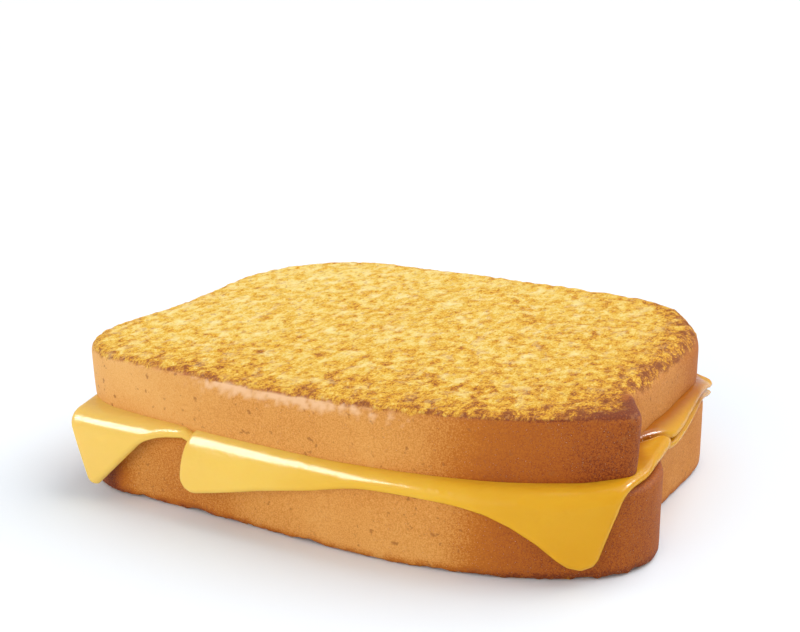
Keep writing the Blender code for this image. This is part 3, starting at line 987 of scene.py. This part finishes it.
def melted_sheet(name, index, fold, node):
    """The lip is rounded on its free side only, so that sheets lie tight on each other."""
    shape, depths, painted_shade = sheet_shape(index, fold)
    joined = fused(np.array([vertex.co[:2] for vertex in shape.verts]) - PLACE) * (index > 0)
    covered = joined * (index == 1)
    rounded = np.sqrt(np.clip(1 - (1 - np.clip(depths / LIP, 0.0, 1.0)) ** 2, 0.0, 1.0))
    thinnest = LIP_FULLNESS + 0.2 * joined
    fullness = thinnest + (1 - thinnest) * rounded
    shape.normal_update()
    for vertex, value, side in zip(shape.verts, fullness, 1 - 2 * covered):
        vertex.co -= vertex.normal * MELTED_THICKNESS * (1 - value) / 2 * side
    piece = finished_piece(name, shape, cheese_finish, node, {"painted_shade": painted_shade})
    group = piece.vertex_groups.new(name="fullness")
    for i, value in enumerate(fullness):
        group.add([i], float(value), "REPLACE")
    solid = piece.modifiers.new("Thickness", "SOLIDIFY")
    solid.thickness = MELTED_THICKNESS
    solid.offset = 0.0
    solid.vertex_group = "fullness"
    return piece


melted_sheet("cheese_sheet_lower", 0, straight_fold(), "cheese_lower")
melted_sheet("cheese_sheet_middle", 1, crust_fold(), "cheese_middle")
melted_sheet("cheese_sheet_upper", 2, crust_fold(), "cheese_upper")

# %% [markdown]
# ## Floor and light
#
# A plain pale floor and an even white sky keep the shadows soft. Two broad sources of daylight
# model the shape: one from behind, which throws a pale shadow forwards, and a low one from the
# front, which lights the crust. Two lamps are there for the gloss alone. They are hidden from
# matt surfaces, so they draw highlights on the cheese without bleaching the floor.

# %% Lay the floor
plane = bmesh.new()
bmesh.ops.create_grid(plane, x_segments=1, y_segments=1, size=20.0)
floor_mesh = bpy.data.meshes.new("floor")
plane.to_mesh(floor_mesh)
plane.free()
floor = bpy.data.objects.new("floor", floor_mesh)
bpy.context.scene.collection.objects.link(floor)
floor_finish, floor_tree, floor_shader = new_material("pale_floor")
floor_shader.inputs["Base Color"].default_value = (0.845, 0.90, 0.955, 1.0)
floor_shader.inputs["Roughness"].default_value = 0.8
floor_shader.inputs["Specular IOR Level"].default_value = 0.2
floor_mesh.materials.append(floor_finish)
print("floor is", round(floor.dimensions.x, 1), "m wide")

# %% Light the table
def soft_lamp(name, place, aim, width, height, power):
    lamp = bpy.data.lights.new(name, "AREA")
    lamp.shape = "RECTANGLE"
    lamp.size = width
    lamp.size_y = height
    lamp.energy = power
    item = bpy.data.objects.new(name, lamp)
    bpy.context.scene.collection.objects.link(item)
    item.location = place
    item.rotation_euler = (Vector(aim) - Vector(place)).to_track_quat("-Z", "Y").to_euler()
    return item


sky = bpy.data.worlds.new("sky")
bpy.context.scene.world = sky
sky.use_nodes = True
sky.node_tree.nodes["Background"].inputs["Color"].default_value = (1.0, 1.0, 1.0, 1.0)
seen = add_node(sky.node_tree, "ShaderNodeLightPath").outputs["Is Camera Ray"]
strength = calculate(sky.node_tree, "MULTIPLY_ADD", seen, 0.45, 0.625)
sky.node_tree.links.new(strength, sky.node_tree.nodes["Background"].inputs["Strength"])
gloss = soft_lamp("gloss", (-0.32, -0.30, 0.40), (0.0, 0.0, 0.01), 0.44, 0.22, 15.0)
edge_gloss = soft_lamp("edge_gloss", (0.44, 0.29, 0.30), (0.0, 0.0, 0.01), 0.12, 0.12, 4.0)
for lamp in (gloss, edge_gloss):
    lamp.visible_diffuse = False


def daylight(name, energy, spread, tilt, turn):
    """Even light from one direction: tilt away from overhead, turn about the vertical."""
    sun = bpy.data.lights.new(name, "SUN")
    sun.energy = energy
    sun.angle = math.radians(spread)
    item = bpy.data.objects.new(name, sun)
    bpy.context.scene.collection.objects.link(item)
    item.rotation_euler = (math.radians(tilt), 0.0, math.radians(turn))
    return item


daylight("from_behind", 1.92, 62, 38, 142)
daylight("from_the_front", 1.06, 50, 72, -12)
bpy.context.scene.view_settings.view_transform = "Standard"
print("light: the sky, daylight from behind and from the front, and two lamps for the gloss")
